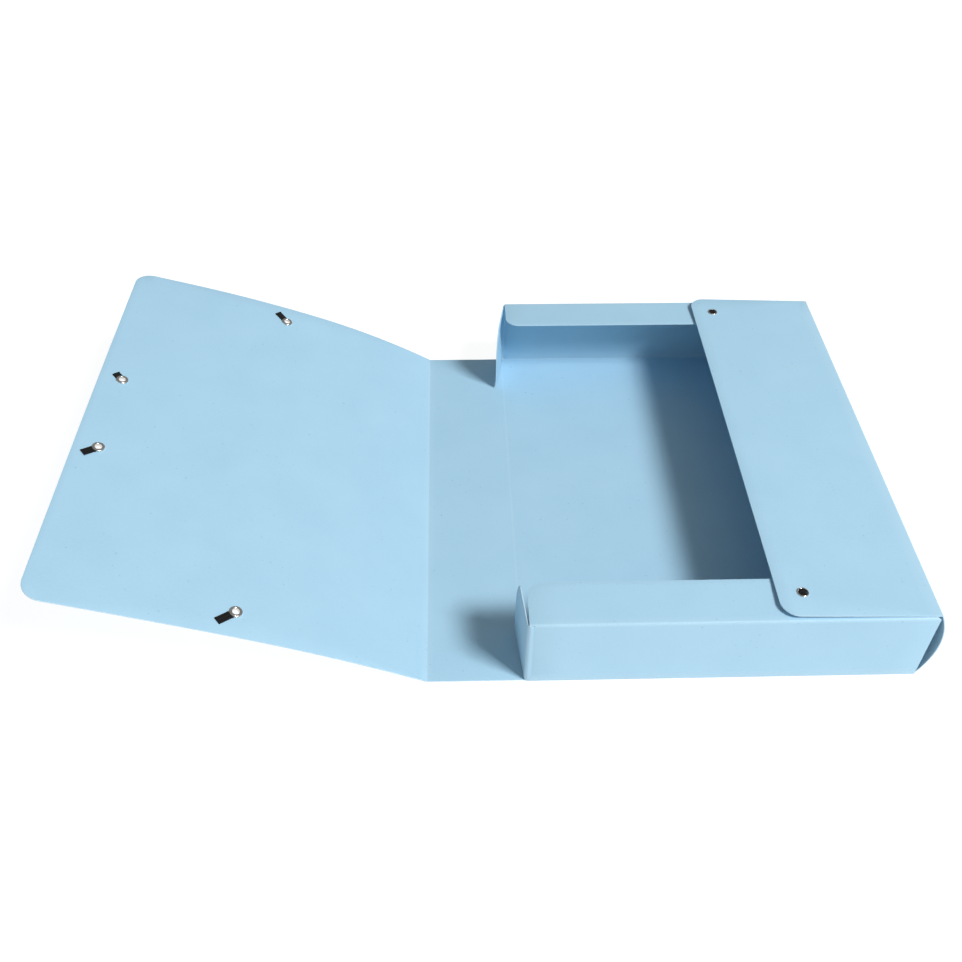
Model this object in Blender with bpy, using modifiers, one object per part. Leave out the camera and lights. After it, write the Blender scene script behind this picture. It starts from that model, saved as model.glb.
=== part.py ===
"""Box file of pale blue pressboard, open on its base, with eyelets and flat elastic corner straps."""

import math

import bmesh
import bpy
from mathutils import Matrix, Vector

MM = 0.001

# The sheet
CARD = 0.8 * MM
CREASE_GAP = 0.3 * MM
WIDE_CREASE_GAP = 0.6 * MM

# The box
BASE_WIDTH = 250 * MM
BASE_DEPTH = 330 * MM
SPINE_WIDTH = 61 * MM
END_WALL_HEIGHT = 55.6 * MM
FORE_WALL_HEIGHT = 56.7 * MM
FORE_WALL_BULGE = 7 * MM
FORE_WALL_HALF_DEPTH = 164.4 * MM
FORE_WALL_FACETS = 10

# The flaps over the top
END_FLAP_DEPTH = 31.5 * MM
END_FLAP_LIFT = math.radians(2.5)
END_FLAP_MITRE = 1.5
END_FLAP_CORNER = 10 * MM
FORE_FLAP_DEPTH = 97 * MM
FORE_FLAP_HALF_DEPTH = 164.5 * MM
FORE_FLAP_LIFT = math.radians(1.7)
FORE_FLAP_CORNER = 11 * MM

# The ears, folded in from the end walls at the spine
EAR_LENGTH = 40 * MM
EAR_LEANS = {"tail": math.radians(5.7), "head": math.radians(10)}
EAR_CORNER_HEIGHT = 25 * MM
EAR_TOP_LENGTH = 28 * MM
EAR_LOW_EDGE = 0.7 * MM
EAR_TOP_GAP = 0.6 * MM
EAR_EDGE_RISE = 1.8 * MM
EAR_INSET = 1.1 * MM

# The cover, bowed along its width
COVER_LENGTH = 247 * MM
COVER_HALF_DEPTH = 164.6 * MM
COVER_CORNER = 13 * MM
COVER_FACETS = 13
COVER_SLOPE_END = math.radians(18.2)
COVER_SLOPE_EXTRA = math.radians(8.5)
COVER_SLOPE_POWER = 1.8

# Eyelets, and where they sit
COVER_BORE = 2.3 * MM
COVER_FLANGE = 4.1 * MM
FLAP_BORE = 2.9 * MM
FLAP_FLANGE = 3.8 * MM
BARREL_WALL = 0.3 * MM
HOLE_CLEARANCE = 0.2 * MM
ROLL_WIDTH = 0.4 * MM
END_EYELET_FROM_CREASE = 125 * MM
END_EYELET_FROM_MIDDLE = 146.5 * MM
FORE_EYELET_FROM_CREASE = 231 * MM
FORE_EYELET_FROM_MIDDLE = 35 * MM
FLAP_EYELET_FROM_CREASE = 81 * MM
FLAP_EYELET_FROM_MIDDLE = 146.5 * MM

# The elastic
STRAP_WIDTH = 5.5 * MM
STRAP_THICK = 0.9 * MM
STRAP_OFFSET = 3.3 * MM
STRAP_CARD_GAP = 0.15 * MM
TAG_LENGTHS = {"head": 8.6 * MM, "fore_upper": 4.6 * MM, "fore_lower": 8.4 * MM, "tail": 10.7 * MM}
TAG_THICK = 0.6 * MM
TAG_CARD_GAP = 0.1 * MM
TIE_BUTTON = 2.7 * MM
TIE_CORD = 1.3 * MM

X_AXIS = Vector((1, 0, 0))
Y_AXIS = Vector((0, 1, 0))
Z_AXIS = Vector((0, 0, 1))


def clear_scene():
    for obj in list(bpy.data.objects):
        bpy.data.objects.remove(obj, do_unlink=True)


def make_collection(name, hidden):
    found = bpy.data.collections.new(name)
    found.hide_render = hidden
    bpy.context.scene.collection.children.link(found)
    return found


def material(name, colour, roughness, metallic):
    made = bpy.data.materials.new(name)
    made.use_nodes = True
    made.diffuse_color = (*colour, 1)
    shader = made.node_tree.nodes["Principled BSDF"]
    shader.inputs["Base Color"].default_value = (*colour, 1)
    shader.inputs["Roughness"].default_value = roughness
    shader.inputs["Metallic"].default_value = metallic
    return made


def frame(origin, along, inward):
    """The frame of a panel: X away from its crease, Z out of its inner face, origin on the crease."""
    across = inward.cross(along)
    turn = Matrix((along, across, inward)).transposed()
    return Matrix.Translation(origin) @ turn.to_4x4()


def object_from(bm, name, place, collection, finish=None):
    """An object made of this bmesh, with all its faces turned outwards."""
    bmesh.ops.recalc_face_normals(bm, faces=bm.faces)
    mesh = bpy.data.meshes.new(name)
    bm.to_mesh(mesh)
    bm.free()
    obj = bpy.data.objects.new(name, mesh)
    collection.objects.link(obj)
    obj.matrix_world = place
    if finish:
        mesh.materials.append(finish)
    if collection.hide_render:
        obj.hide_render = True
        obj.display_type = "WIRE"
    return obj


def arc(centre, radius, start, end, steps):
    """Points on an arc, with angles in degrees."""
    points = []
    for i in range(steps + 1):
        angle = math.radians(start + (end - start) * i / steps)
        points.append((centre[0] + radius * math.cos(angle), centre[1] + radius * math.sin(angle)))
    return points


def sheet(outline, top=0.0, bottom=-CARD):
    """A flat piece with this outline, between two heights."""
    bm = bmesh.new()
    corners = [bm.verts.new((x, y, bottom)) for x, y in outline]
    face = bm.faces.new(corners)
    raised = bmesh.ops.extrude_face_region(bm, geom=[face])["geom"]
    moved = [v for v in raised if isinstance(v, bmesh.types.BMVert)]
    bmesh.ops.translate(bm, verts=moved, vec=(0, 0, top - bottom))
    return bm


def block(low, high):
    """A box between two corners."""
    outline = [(low[0], low[1]), (high[0], low[1]), (high[0], high[1]), (low[0], high[1])]
    return sheet(outline, high[2], low[2])


def rectangle(start, end, half):
    return [(start, -half), (end, -half), (end, half), (start, half)]


def flap_outline(start, end, half, radius):
    """A rectangle with its two free corners rounded."""
    outer = arc((end - radius, -half + radius), radius, -90, 0, 8)
    outer += arc((end - radius, half - radius), radius, 0, 90, 8)
    return [(start, -half), *outer, (start, half)]


def drill(obj, place, bore, collection):
    """Cuts the round hole for an eyelet of this bore, at a frame whose Z runs along the hole."""
    radius = bore + BARREL_WALL + HOLE_CLEARANCE
    bm = bmesh.new()
    bmesh.ops.create_cone(
        bm, cap_ends=True, segments=32, radius1=radius, radius2=radius, depth=8 * MM
    )
    cut(obj, object_from(bm, obj.name + "_hole", place, collection))


def cut(obj, cutter, operation="DIFFERENCE"):
    modifier = obj.modifiers.new(cutter.name, "BOOLEAN")
    modifier.object = cutter
    modifier.operation = operation
    modifier.solver = "EXACT"


def bend(obj, path):
    """Bakes a piece, cuts it across at each point of the path, and lays it along the path.

    The path is a list of (distance along the flat sheet, X, Z) of the inner face."""
    bpy.context.view_layer.update()
    graph = bpy.context.evaluated_depsgraph_get()
    baked = bpy.data.meshes.new_from_object(obj.evaluated_get(graph))
    obj.modifiers.clear()
    bm = bmesh.new()
    bm.from_mesh(baked)
    bpy.data.meshes.remove(baked)
    for distance, _, _ in path[1:-1]:
        everything = bm.verts[:] + bm.edges[:] + bm.faces[:]
        bmesh.ops.bisect_plane(
            bm, geom=everything, dist=1e-7, plane_co=(distance, 0, 0), plane_no=(1, 0, 0)
        )
    mitres = path_mitres(path)
    for vert in bm.verts:
        vert.co = on_path(vert.co, path, mitres)
    bm.to_mesh(obj.data)
    bm.free()


def path_mitres(path):
    """The vector at each point of a path by which its face moves when it is offset by one."""
    normals = []
    for (_, x0, z0), (_, x1, z1) in zip(path, path[1:]):
        length = math.hypot(x1 - x0, z1 - z0)
        normals.append(Vector((-(z1 - z0) / length, 0, (x1 - x0) / length)))
    mitres = [normals[0]]
    for one, other in zip(normals, normals[1:]):
        between = (one + other).normalized()
        mitres.append(between / between.dot(one))
    return [*mitres, normals[-1]]


def on_path(point, path, mitres):
    """Where a point of the flat sheet goes when the sheet lies along the path."""
    k = 0
    while k < len(path) - 2 and point.x > path[k + 1][0]:
        k += 1
    share = (point.x - path[k][0]) / (path[k + 1][0] - path[k][0])
    ends = []
    for (_, x, z), mitre in zip(path[k : k + 2], mitres[k : k + 2]):
        ends.append(Vector((x, point.y, z)) + mitre * point.z)
    return ends[0].lerp(ends[1], share)


def cover_path():
    """The bowed cover: steepest at its crease, and flatter towards its fore edge."""
    path, x, z = [(0.0, 0.0, 0.0)], 0.0, 0.0
    step = COVER_LENGTH / COVER_FACETS
    for i in range(COVER_FACETS):
        left = 1 - (i + 0.5) / COVER_FACETS
        slope = COVER_SLOPE_END + COVER_SLOPE_EXTRA * left**COVER_SLOPE_POWER
        x += step * math.cos(slope)
        z += step * math.sin(slope)
        path.append(((i + 1) * step, x, z))
    return path


def fore_wall_path():
    """The fore-edge wall's shallow outward bow, from crease to crease."""
    path, distance, last = [(0.0, 0.0, 0.0)], 0.0, Vector((0, 0))
    for i in range(1, FORE_WALL_FACETS + 1):
        share = i / FORE_WALL_FACETS
        here = Vector((FORE_WALL_HEIGHT * share, -FORE_WALL_BULGE * 4 * share * (1 - share)))
        distance += (here - last).length
        path.append((distance, here.x, here.y))
        last = here
    return path


def smooth_faces(obj, smallest_area):
    """Shades smooth the broad faces of a bowed panel, and leaves its thin edges flat."""
    for face in obj.data.polygons:
        face.use_smooth = face.area > smallest_area


def turned_ring(name, profile, place, collection, finish):
    """A closed profile, in radius and height, turned about Z."""
    bm = bmesh.new()
    points = [bm.verts.new((radius, 0, height)) for radius, height in profile]
    for one, other in zip(points, points[1:] + points[:1]):
        bm.edges.new((one, other))
    return turned(bm, name, place, collection, finish)


def turned_solid(name, profile, place, collection, finish):
    """A profile that starts and ends on the axis, turned about Z."""
    bm = bmesh.new()
    points = [bm.verts.new((radius, 0, height)) for radius, height in profile]
    for one, other in zip(points, points[1:]):
        bm.edges.new((one, other))
    return turned(bm, name, place, collection, finish)


def turned(bm, name, place, collection, finish):
    mesh = bpy.data.meshes.new(name)
    bm.to_mesh(mesh)
    bm.free()
    mesh.materials.append(finish)
    obj = bpy.data.objects.new(name, mesh)
    collection.objects.link(obj)
    obj.matrix_world = place
    screw = obj.modifiers.new("turn", "SCREW")
    screw.axis = "Z"
    screw.angle = math.tau
    screw.steps = 24
    screw.render_steps = 24
    screw.use_merge_vertices = True
    screw.merge_threshold = 0.00001
    screw.use_smooth_shade = True
    return obj


def eyelet(name, place, seat, bore, flange, finish, collection):
    """A rolled eyelet: its rim stands on the inner face at the seat height, its roll grips the other."""
    under = -CARD - 0.1 * MM
    rim = seat + 0.8 * MM
    width = flange - bore
    barrel = bore + BARREL_WALL
    roll = barrel + ROLL_WIDTH
    profile = [
        (bore, rim - 0.35 * MM),
        (bore + 0.17 * width, rim - 0.05 * MM),
        (bore + 0.44 * width, rim),
        (bore + 0.72 * width, rim - 0.15 * MM),
        (flange, rim - 0.5 * MM),
        (flange, seat),
        (barrel, seat),
        (barrel, under),
        (roll, under),
        (roll, under - 0.3 * MM),
        (barrel, under - 0.55 * MM),
        (bore, under - 0.3 * MM),
    ]
    return turned_ring(name, profile, place, collection, finish)


def build_panels(card, parts, cutters):
    """The panels of the sheet. Returns the frames that fittings are placed in."""
    left, right = -BASE_WIDTH / 2, BASE_WIDTH / 2
    half = BASE_DEPTH / 2
    base = frame(Vector((0, 0, CARD)), X_AXIS, Z_AXIS)
    outline = rectangle(left + CREASE_GAP, right - CREASE_GAP, half - CREASE_GAP)
    object_from(sheet(outline), "base_panel", base, parts, card)

    spine = frame(Vector((left, 0, CARD)), -X_AXIS, Z_AXIS)
    outline = rectangle(CREASE_GAP, SPINE_WIDTH - CREASE_GAP, half - CREASE_GAP)
    object_from(sheet(outline), "spine_panel", spine, parts, card)

    frames = {"cover": build_cover(card, parts, cutters)}
    for side, end in ((-1, "tail"), (1, "head")):
        build_end_wall(end, side, card, parts)
        frames[end] = build_end_flap(end, side, card, parts, cutters)
    build_fore_wall(card, parts)
    frames["fore"] = build_fore_flap(card, parts, cutters)
    return frames


def build_cover(card, parts, cutters):
    place = frame(Vector((-BASE_WIDTH / 2 - SPINE_WIDTH, 0, CARD)), -X_AXIS, Z_AXIS)
    outline = flap_outline(CREASE_GAP, COVER_LENGTH, COVER_HALF_DEPTH, COVER_CORNER)
    cover = object_from(sheet(outline), "cover_panel", place, parts, card)
    for side in (-1, 1):
        for eyelet_at, strap in strap_ends(side):
            drill(cover, place @ Matrix.Translation(eyelet_at), COVER_BORE, cutters)
            slit = block(
                (-STRAP_WIDTH / 2 - 0.2 * MM, STRAP_OFFSET - 0.2 * MM, -4 * MM),
                (STRAP_WIDTH / 2 + 0.2 * MM, STRAP_OFFSET + STRAP_THICK + 0.2 * MM, 4 * MM),
            )
            cut(cover, object_from(slit, "slit", place @ strap, cutters))
    bend(cover, cover_path())
    smooth_faces(cover, 400 * MM * MM)
    return place


def strap_ends(side):
    """For one corner of the cover: each eyelet's centre, and a frame there with X along the strap
    and Y towards the corner. The cover's own frame has its tail end at positive Y."""
    end = Vector((END_EYELET_FROM_CREASE, -side * END_EYELET_FROM_MIDDLE, 0))
    fore = Vector((FORE_EYELET_FROM_CREASE, -side * FORE_EYELET_FROM_MIDDLE, 0))
    along = (fore - end).normalized()
    to_corner = Vector((-along.y, along.x, 0))
    corner = Vector((COVER_LENGTH, -side * COVER_HALF_DEPTH, 0))
    if to_corner.dot(corner - end) < 0:
        along = -along
        to_corner = -to_corner
    turn = Matrix((along, to_corner, Z_AXIS)).transposed().to_4x4()
    return [(at, Matrix.Translation(at) @ turn) for at in (end, fore)]


def build_end_wall(end, side, card, parts):
    """An end wall and, at the spine, the ear folded in from it."""
    half = BASE_DEPTH / 2
    inward = -side * Y_AXIS
    place = frame(Vector((0, side * half, CARD)), Z_AXIS, inward)
    spine_end = BASE_WIDTH / 2 - EAR_INSET - CREASE_GAP
    fore_end = BASE_WIDTH / 2 - 2 * CREASE_GAP
    top = END_WALL_HEIGHT - CREASE_GAP
    low, high = (-spine_end, fore_end) if side < 0 else (-fore_end, spine_end)
    outline = [(CREASE_GAP, low), (top, low), (top, high), (CREASE_GAP, high)]
    object_from(sheet(outline), end + "_wall", place, parts, card)

    hinge = Vector((-BASE_WIDTH / 2 + EAR_INSET, side * half, CARD))
    lean = Matrix.Rotation(-side * EAR_LEANS[end], 3, "Z")
    ear = frame(hinge, lean @ inward, lean @ X_AXIS)
    outline = [(x, -side * z) for x, z in ear_outline()]
    object_from(sheet(outline), end + "_ear", ear, parts, card)


def ear_outline():
    """The ear's length from its crease, and height above the base: its upper free corner is round."""
    top = END_WALL_HEIGHT - EAR_TOP_GAP
    points = [(CREASE_GAP, EAR_LOW_EDGE), (EAR_LENGTH, EAR_LOW_EDGE + EAR_EDGE_RISE)]
    for i in range(9):
        angle = math.radians(90 * i / 8)
        x = EAR_TOP_LENGTH + (EAR_LENGTH - EAR_TOP_LENGTH) * math.cos(angle)
        z = EAR_CORNER_HEIGHT + (top - EAR_CORNER_HEIGHT) * math.sin(angle)
        points.append((x, z))
    return [*points, (CREASE_GAP, top)]


def build_end_flap(end, side, card, parts, cutters):
    """An end flap: round at the spine, mitred where it lies under the fore-edge flap."""
    hinge = Vector((0, side * BASE_DEPTH / 2, CARD + END_WALL_HEIGHT))
    lift = Matrix.Rotation(-side * END_FLAP_LIFT, 3, "X")
    place = frame(hinge, lift @ (-side * Y_AXIS), lift @ -Z_AXIS)
    depth, radius = END_FLAP_DEPTH, END_FLAP_CORNER
    spine_end = -BASE_WIDTH / 2 + EAR_INSET + CREASE_GAP
    fore_end = BASE_WIDTH / 2 - 1.5 * MM
    outline = [(CREASE_GAP, spine_end)]
    outline += arc((depth - radius, spine_end + radius), radius, -90, 0, 8)
    outline.append((depth, fore_end - END_FLAP_MITRE * depth))
    outline.append((CREASE_GAP, fore_end - END_FLAP_MITRE * CREASE_GAP))
    outline = [(x, -side * y) for x, y in outline]
    flap = object_from(sheet(outline), end + "_flap", place, parts, card)
    at = under_flap_eyelet(side, place)
    drill(flap, at, FLAP_BORE, cutters)
    return at


def flap_eyelet_frame(side, place):
    """The frame of an eyelet in the fore-edge flap, with Z up out of the flap's outer face."""
    at = Vector((FLAP_EYELET_FROM_CREASE, side * FLAP_EYELET_FROM_MIDDLE, 0))
    return place @ Matrix.Translation(at) @ Matrix.Rotation(math.pi, 4, "X")


def fore_flap_frame():
    hinge = Vector((BASE_WIDTH / 2, 0, CARD + FORE_WALL_HEIGHT))
    lift = Matrix.Rotation(FORE_FLAP_LIFT, 3, "Y")
    return frame(hinge, lift @ -X_AXIS, lift @ -Z_AXIS)


def under_flap_eyelet(side, place):
    """The frame in an end flap right under the fore-edge flap's eyelet, on the flap's inner face."""
    above = flap_eyelet_frame(side, fore_flap_frame()).translation
    local = place.inverted() @ above
    return place @ Matrix.Translation((local.x, local.y, 0))


def build_fore_wall(card, parts):
    place = frame(Vector((BASE_WIDTH / 2, 0, CARD)), Z_AXIS, -X_AXIS)
    path = fore_wall_path()
    outline = rectangle(CREASE_GAP, path[-1][0] - WIDE_CREASE_GAP, FORE_WALL_HALF_DEPTH)
    wall = object_from(sheet(outline), "fore_edge_wall", place, parts, card)
    bend(wall, path)
    smooth_faces(wall, 400 * MM * MM)


def build_fore_flap(card, parts, cutters):
    place = fore_flap_frame()
    outline = flap_outline(
        WIDE_CREASE_GAP, FORE_FLAP_DEPTH, FORE_FLAP_HALF_DEPTH, FORE_FLAP_CORNER
    )
    flap = object_from(sheet(outline), "fore_edge_flap", place, parts, card)
    for side in (-1, 1):
        drill(flap, flap_eyelet_frame(side, place), FLAP_BORE, cutters)
    return place


def on_cover(place, at):
    """The frame on the bowed cover's inner face at a point of the flat sheet."""
    path = cover_path()
    mitres = path_mitres(path)
    here = on_path(at, path, mitres)
    ahead = on_path(at + Vector((2 * MM, 0, 0)), path, mitres)
    behind = on_path(at - Vector((2 * MM, 0, 0)), path, mitres)
    along = (ahead - behind).normalized()
    return place @ frame(here, along, along.cross(Y_AXIS))


def build_cover_fittings(place, metal, elastic, parts, cutters):
    """The four eyelets of the cover, and the two straps that they hold."""
    seat = TAG_CARD_GAP + TAG_THICK + 0.1 * MM
    for side, end in ((-1, "tail"), (1, "head")):
        fore = "fore_upper" if side > 0 else "fore_lower"
        for (at, _), where in zip(strap_ends(side), (end, fore)):
            name = "cover_eyelet_" + where
            eyelet(name, on_cover(place, at), seat, COVER_BORE, COVER_FLANGE, metal, parts)
        build_strap(end, side, place, elastic, parts, cutters)


def build_strap(end, side, place, elastic, parts, cutters):
    """A flat elastic across a corner of the cover, on its outer face. Each end comes up through
    its slit and lies on the inner face, under the eyelet's rim."""
    (_, turn), (other, _) = strap_ends(side)
    name = "corner_strap_" + end
    reach = (turn.inverted() @ other).x
    low, high = sorted((0.0, reach))
    outer = -CARD - STRAP_CARD_GAP
    near, far = STRAP_OFFSET, STRAP_OFFSET + STRAP_WIDTH
    half = STRAP_WIDTH / 2
    run = block((low - half, near, outer - STRAP_THICK), (high + half, far, outer))
    strap = object_from(run, name, place, parts, elastic)
    strap.data.transform(turn)
    inset = 0.1 * MM
    names = [end, "fore_upper" if side > 0 else "fore_lower"]
    if reach < 0:
        names.reverse()
    for at, where in zip((low, high), names):
        plug = block(
            (at - half + inset, near + inset, outer - STRAP_THICK / 2),
            (at + half - inset, near + STRAP_THICK, TAG_CARD_GAP + TAG_THICK / 2),
        )
        tag = block(
            (at - half, near, TAG_CARD_GAP),
            (at + half, near + TAG_LENGTHS[where], TAG_CARD_GAP + TAG_THICK),
        )
        for bm in (plug, tag):
            cut(strap, object_from(bm, name + "_end", place @ turn, cutters), "UNION")
    bend(strap, cover_path())


def build_ties(frames, metal, elastic, parts):
    """At each end of the fore-edge flap: its eyelet, the end flap's, and the elastic through both."""
    for side, end in ((-1, "tail"), (1, "head")):
        top = flap_eyelet_frame(side, frames["fore"])
        face = top @ Matrix.Translation((0, 0, CARD))
        for name, at in (("flap_eyelet_", face), ("end_flap_eyelet_", frames[end])):
            eyelet(name + end, at, 0.05 * MM, FLAP_BORE, FLAP_FLANGE, metal, parts)
        profile = [
            (0, 0.95 * MM),
            (0.9 * MM, 0.9 * MM),
            (1.9 * MM, 0.65 * MM),
            (TIE_BUTTON, 0.1 * MM),
            (TIE_BUTTON, -1.1 * MM),
            (TIE_CORD, -1.3 * MM),
            (TIE_CORD, -3.6 * MM),
            (0, -3.6 * MM),
        ]
        turned_solid("elastic_tie_" + end, profile, face, parts, elastic)


def main():
    clear_scene()
    parts = make_collection("archival_box", hidden=False)
    cutters = make_collection("cutters", hidden=True)
    card = material("blue_pressboard", (0.42, 0.64, 0.79), 0.6, 0.0)
    metal = material("nickel_eyelet", (0.72, 0.71, 0.69), 0.25, 1.0)
    elastic = material("black_elastic", (0.012, 0.012, 0.013), 0.8, 0.0)
    frames = build_panels(card, parts, cutters)
    build_cover_fittings(frames["cover"], metal, elastic, parts, cutters)
    build_ties(frames, metal, elastic, parts)


main()
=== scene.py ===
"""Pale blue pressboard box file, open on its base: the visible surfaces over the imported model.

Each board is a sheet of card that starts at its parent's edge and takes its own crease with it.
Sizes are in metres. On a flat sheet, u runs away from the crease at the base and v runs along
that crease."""

import math

import bmesh
import bpy
from mathutils import Matrix, Vector, noise


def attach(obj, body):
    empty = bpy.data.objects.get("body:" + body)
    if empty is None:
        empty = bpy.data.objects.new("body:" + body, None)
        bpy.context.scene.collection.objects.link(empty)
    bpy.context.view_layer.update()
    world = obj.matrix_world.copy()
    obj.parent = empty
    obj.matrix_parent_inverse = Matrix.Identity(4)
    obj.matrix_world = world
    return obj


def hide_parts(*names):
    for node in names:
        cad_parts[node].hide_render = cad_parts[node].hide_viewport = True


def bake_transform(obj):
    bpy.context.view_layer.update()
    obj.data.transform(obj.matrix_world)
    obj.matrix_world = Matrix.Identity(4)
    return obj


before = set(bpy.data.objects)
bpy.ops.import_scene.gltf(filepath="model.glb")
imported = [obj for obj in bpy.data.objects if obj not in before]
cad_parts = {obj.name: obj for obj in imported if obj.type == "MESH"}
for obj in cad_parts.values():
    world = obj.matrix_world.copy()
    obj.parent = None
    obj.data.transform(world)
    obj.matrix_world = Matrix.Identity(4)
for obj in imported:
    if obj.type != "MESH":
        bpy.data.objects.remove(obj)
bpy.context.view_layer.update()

MM = 0.001
X_AXIS = Vector((1, 0, 0))
Y_AXIS = Vector((0, 1, 0))
Z_AXIS = Vector((0, 0, 1))

# The sheet
CARD = 0.8 * MM
CREASE = 1.6 * MM
FOLD_RADIUS = 0.5 * MM
COVER_FOLD_RADIUS = 2.0 * MM
EAR_FOLD_RADIUS = 1.6 * MM
EDGE_ROUND = 0.16 * MM
CORNER_STEPS = 14
SHEET_GAP = 0.15 * MM

# How finely each board is sliced along its crease
BROAD_SLICE = 25 * MM
SLICE = 20 * MM
COVER_SLICE = 12 * MM
EAR_SLICE = 9 * MM

# The box
BASE_WIDTH = 250 * MM
BASE_DEPTH = 330 * MM
SPINE_WIDTH = 61 * MM
SPINE_INSET = 0.3 * MM
END_WALL_HEIGHT = 55.6 * MM
END_WALL_FORE_GAP = 0.6 * MM
FORE_WALL_HEIGHT = 56.7 * MM
FORE_WALL_BULGE = 7 * MM
FORE_WALL_HALF_DEPTH = 164.4 * MM
BOW_STRETCH = 1.006
FORE_CREASE_WAY = (0.53, 0.85)

# The flaps over the top
END_FLAP_DEPTH = 31.5 * MM
END_FLAP_LIFT = math.radians(2.5)
END_FLAP_MITRE = 1.5
END_FLAP_CORNER = 10 * MM
END_FLAP_EAR_GAP = 0.3 * MM
END_FLAP_FORE_GAP = 1.5 * MM
FORE_FLAP_DEPTH = 97 * MM
FORE_FLAP_HALF_DEPTH = 164.5 * MM
FORE_FLAP_LIFT = math.radians(1.7)
FORE_FLAP_CORNER = 11 * MM

# The ears
EAR_LENGTH = 40 * MM
EAR_LEANS = {"tail": math.radians(5.7), "head": math.radians(10)}
EAR_CORNER_HEIGHT = 25 * MM
EAR_TOP_LENGTH = 28 * MM
EAR_LOW_EDGE = 0.7 * MM
EAR_TOP_GAP = 0.6 * MM
EAR_EDGE_RISE = 1.8 * MM
EAR_INSET = 1.1 * MM

# The cover
COVER_LENGTH = 247 * MM
COVER_HALF_DEPTH = 164.6 * MM
COVER_CORNER = 13 * MM
COVER_SLOPE_END = math.radians(18.2)
COVER_SLOPE_EXTRA = math.radians(8.5)
COVER_SLOPE_POWER = 1.8
COVER_CREASE_SLOPE = math.radians(13)
COVER_HEAD_RISE = 4.5 * MM
COVER_HEAD_REACH = 2.5 * MM

# Eyelets
COVER_BORE = 2.3 * MM
COVER_FLANGE = 4.1 * MM
FLAP_BORE = 2.9 * MM
FLAP_FLANGE = 3.8 * MM
BARREL_WALL = 0.3 * MM
HOLE_CLEARANCE = 0.2 * MM
CUTTER_DEPTH = 8 * MM
EYELET_SEAT = 0.03 * MM
TAG_SEAT = 0.04 * MM
PETAL_SEAT = 0.05 * MM
PETAL_ROLL = 0.75 * MM
LIFT_HALF_ANGLE = math.radians(62)
LIFT_BLEND_ANGLE = math.radians(16)
EYELET_STEPS = 60
COVER_RIM = 1.25 * MM
FLAP_RIM = 0.75 * MM
SPLITS = 6
END_EYELET_FROM_CREASE = 125 * MM
END_EYELET_FROM_MIDDLE = 146.5 * MM
FORE_EYELET_FROM_CREASE = 231 * MM
FORE_EYELET_FROM_MIDDLE = 35 * MM
FLAP_EYELET_FROM_CREASE = 81 * MM
FLAP_EYELET_FROM_MIDDLE = 146.5 * MM

# The elastic
STRAP_WIDTH = 5.5 * MM
STRAP_THICK = 0.9 * MM
STRAP_OFFSET = 3.3 * MM
STRAP_CARD_GAP = 0.15 * MM
SLIT_CLEARANCE = 0.4 * MM
TAG_LENGTHS = {"head": 8.6 * MM, "fore_upper": 4.6 * MM, "fore_lower": 8.4 * MM, "tail": 10.7 * MM}
TAG_THICK = 0.6 * MM
TAG_CARD_GAP = 0.1 * MM
TIE_BUTTON = 2.7 * MM
TIE_CORD = 1.3 * MM
TIE_STEPS = 48

# Looks
CARD_COLOUR = (0.405, 0.655, 0.825)
CARD_COLOUR_DEEP = (0.378, 0.625, 0.798)
CARD_COLOUR_PALE = (0.455, 0.690, 0.845)
CARD_FLECK = (0.24, 0.42, 0.56)
# Paler card for the folds and cut edges: partly wear, partly painted highlight
CARD_WEAR_AND_HIGHLIGHT = (0.60, 0.80, 0.92)
CARD_ROUGHNESS = 0.58
NICKEL_BRIGHT = (0.80, 0.785, 0.76)
NICKEL_DULL = (0.56, 0.52, 0.48)
# Painted shade: the elastic's colour in the weave's hollows, and on its crowns
ELASTIC_HOLLOW_SHADE = (0.003, 0.003, 0.004)
ELASTIC_CROWN = (0.014, 0.013, 0.013)

# Camera, floor and light
CAMERA_PLACE = (-0.16862, -0.5477, 0.55039)
CAMERA_LENS = 39.03
CAMERA_PITCH = math.radians(44.28)
CAMERA_YAW = math.radians(-2.23)
CAMERA_ROLL = math.radians(0.8185)
FLOOR_HALF = 4
FLOOR_DROP = 0.0005
FLOOR_GREY = 0.24
FLOOR_GLOW = 0.90
SKY = 0.25
KEY_PLACE = (2.1, -1.7, 3.3)
KEY_SIZE = 1.1
KEY_POWER = 172

# The card's slight unevenness
WAVE_HEIGHT = 0.35 * MM
WAVE_LENGTH = 75 * MM
WAVE_FADE = 14 * MM
FOLD_LINE = 0.6 * MM


# ---------------------------------------------------------------- paths and frames


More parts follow.
